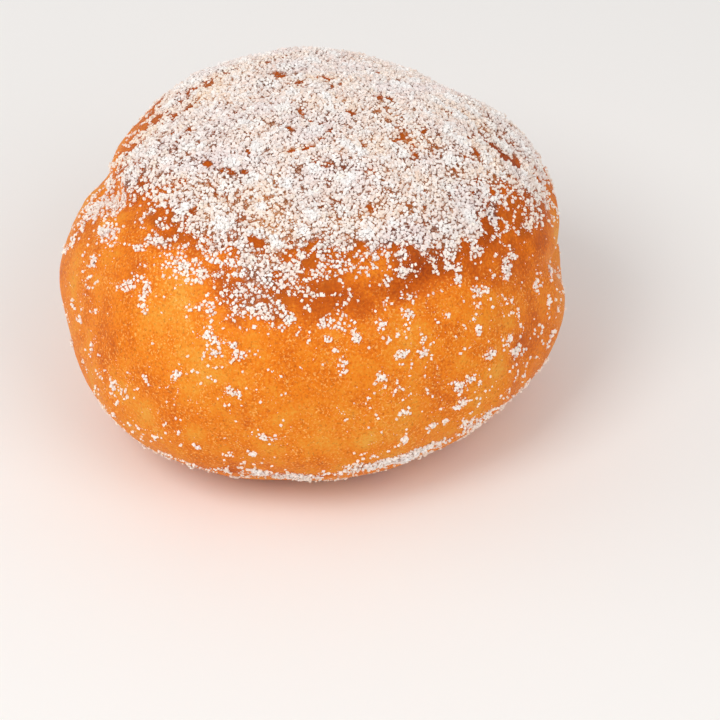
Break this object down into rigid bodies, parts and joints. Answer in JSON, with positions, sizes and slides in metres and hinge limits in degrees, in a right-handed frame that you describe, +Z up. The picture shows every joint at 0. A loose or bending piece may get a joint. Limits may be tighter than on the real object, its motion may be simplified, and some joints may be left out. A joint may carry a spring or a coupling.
{
  "type": "jam doughnut",
  "caption": "Round, uncut fried bun with a domed top, a faint waist groove and a flat foot, thickly sugared on top and thinly on the sides.",
  "frame": {"origin": "middle of the flat foot that the doughnut rests on, under the centre of its plan", "axes": "+Z up; +Y away from the viewer of the picture, so -Y is the side shown; +X to the viewer's right"},
  "size_m": [0.0956, 0.0978, 0.0621],
  "materials": {
    "crust": "fried dough skin, golden orange with browner patches, faint oily sheen",
    "sugar": "dry granulated sugar, white, matte with small glints"
  },
  "bodies": {
    "root": {"doughnut": "crust"}
  },
  "joints": []
}
